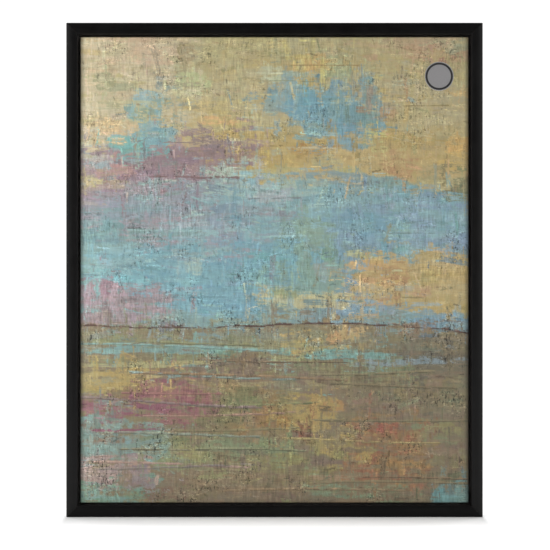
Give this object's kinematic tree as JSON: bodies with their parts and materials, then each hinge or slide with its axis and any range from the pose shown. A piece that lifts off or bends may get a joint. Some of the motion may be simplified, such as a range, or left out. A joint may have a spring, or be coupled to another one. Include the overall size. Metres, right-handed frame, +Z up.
{
  "type": "stretched canvas",
  "caption": "Portrait painting on stretched canvas with keyed wooden stretcher bars, set in a black floater frame with ring hangers and wall bumpers on its back.",
  "frame": {"origin": "middle of the frame's bottom edge, on its underside, halfway through the depth of the frame moulding", "axes": "+X to the right of someone who looks at the painting, +Y from the painting to the wall behind it, +Z up; the painted face looks along -Y"},
  "size_m": [0.5438, 0.0371, 0.6454],
  "materials": {
    "black_frame": "black satin paint",
    "pine": "planed, bare",
    "beech_key": "sawn, bare",
    "painted_canvas": "primed cotton with oil paint on its front",
    "zinc_steel": "zinc plated",
    "nickel_steel": "nickel plated",
    "bumper_rubber": "matt",
    "label_paper": "satin sticker, plain, no print"
  },
  "bodies": {
    "frame_and_canvas": {"frame_rail_left": "black_frame", "frame_rail_top": "black_frame", "frame_rail_right": "black_frame", "frame_rail_bottom": "black_frame", "stretcher_bar_left": "pine", "stretcher_bar_top": "pine", "stretcher_bar_right": "pine", "stretcher_bar_bottom": "pine", "staple_left_1": "zinc_steel", "staple_left_2": "zinc_steel", "staple_left_3": "zinc_steel", "staple_left_4": "zinc_steel", "staple_left_5": "zinc_steel", "staple_left_6": "zinc_steel", "staple_right_1": "zinc_steel", "staple_right_2": "zinc_steel", "staple_right_3": "zinc_steel", "staple_right_4": "zinc_steel", "staple_right_5": "zinc_steel", "staple_right_6": "zinc_steel", "staple_top_1": "zinc_steel", "staple_top_2": "zinc_steel", "staple_top_3": "zinc_steel", "staple_top_4": "zinc_steel", "staple_top_5": "zinc_steel", "staple_bottom_1": "zinc_steel", "staple_bottom_2": "zinc_steel", "staple_bottom_3": "zinc_steel", "staple_bottom_4": "zinc_steel", "staple_bottom_5": "zinc_steel", "v_nail_bottom_left": "zinc_steel", "v_nail_top_left": "zinc_steel", "v_nail_top_right": "zinc_steel", "v_nail_bottom_right": "zinc_steel", "canvas_screw_left_1": "zinc_steel", "canvas_screw_left_2": "zinc_steel", "canvas_screw_top": "zinc_steel", "canvas_screw_right_1": "zinc_steel", "canvas_screw_right_2": "zinc_steel", "canvas_screw_bottom": "zinc_steel", "hanger_screw_left_1": "zinc_steel", "hanger_screw_left_2": "zinc_steel", "hanger_screw_right_1": "zinc_steel", "hanger_screw_right_2": "zinc_steel", "hanger_strap_left": "nickel_steel", "hanger_strap_right": "nickel_steel", "wall_bumper_left": "bumper_rubber", "wall_bumper_right": "bumper_rubber", "painted_canvas": "painted_canvas", "round_label": "label_paper"},
    "corner_key_left_bar_top": {"corner_key_left_bar_top": "beech_key"},
    "corner_key_left_bar_bottom": {"corner_key_left_bar_bottom": "beech_key"},
    "corner_key_top_bar_right": {"corner_key_top_bar_right": "beech_key"},
    "corner_key_top_bar_left": {"corner_key_top_bar_left": "beech_key"},
    "corner_key_right_bar_bottom": {"corner_key_right_bar_bottom": "beech_key"},
    "corner_key_right_bar_top": {"corner_key_right_bar_top": "beech_key"},
    "corner_key_bottom_bar_left": {"corner_key_bottom_bar_left": "beech_key"},
    "corner_key_bottom_bar_right": {"corner_key_bottom_bar_right": "beech_key"},
    "hanger_ring_left": {"hanger_ring_left": "nickel_steel"},
    "hanger_ring_right": {"hanger_ring_right": "nickel_steel"}
  },
  "joints": [
    {"name": "corner_key_left_bar_top_slide", "type": "slide", "parent": "frame_and_canvas", "child": "corner_key_left_bar_top", "axis": [1, 0, 0], "range_m": [0, 0.012]},
    {"name": "corner_key_left_bar_bottom_slide", "type": "slide", "parent": "frame_and_canvas", "child": "corner_key_left_bar_bottom", "axis": [1, 0, 0], "range_m": [0, 0.012]},
    {"name": "corner_key_top_bar_right_slide", "type": "slide", "parent": "frame_and_canvas", "child": "corner_key_top_bar_right", "axis": [0, 0, -1], "range_m": [0, 0.012]},
    {"name": "corner_key_top_bar_left_slide", "type": "slide", "parent": "frame_and_canvas", "child": "corner_key_top_bar_left", "axis": [0, 0, -1], "range_m": [0, 0.012]},
    {"name": "corner_key_right_bar_bottom_slide", "type": "slide", "parent": "frame_and_canvas", "child": "corner_key_right_bar_bottom", "axis": [-1, 0, 0], "range_m": [0, 0.012]},
    {"name": "corner_key_right_bar_top_slide", "type": "slide", "parent": "frame_and_canvas", "child": "corner_key_right_bar_top", "axis": [-1, 0, 0], "range_m": [0, 0.012]},
    {"name": "corner_key_bottom_bar_left_slide", "type": "slide", "parent": "frame_and_canvas", "child": "corner_key_bottom_bar_left", "axis": [0, 0, 1], "range_m": [0, 0.012]},
    {"name": "corner_key_bottom_bar_right_slide", "type": "slide", "parent": "frame_and_canvas", "child": "corner_key_bottom_bar_right", "axis": [0, 0, 1], "range_m": [0, 0.012]},
    {"name": "hanger_ring_left_hinge", "type": "hinge", "parent": "frame_and_canvas", "child": "hanger_ring_left", "pos_m": [-0.2409, 0.0187, 0.43887], "axis": [0, 0, 1], "range_deg": [-12, 165]},
    {"name": "hanger_ring_right_hinge", "type": "hinge", "parent": "frame_and_canvas", "child": "hanger_ring_right", "pos_m": [0.2409, 0.0187, 0.43887], "axis": [0, 0, -1], "range_deg": [-12, 165]}
  ]
}
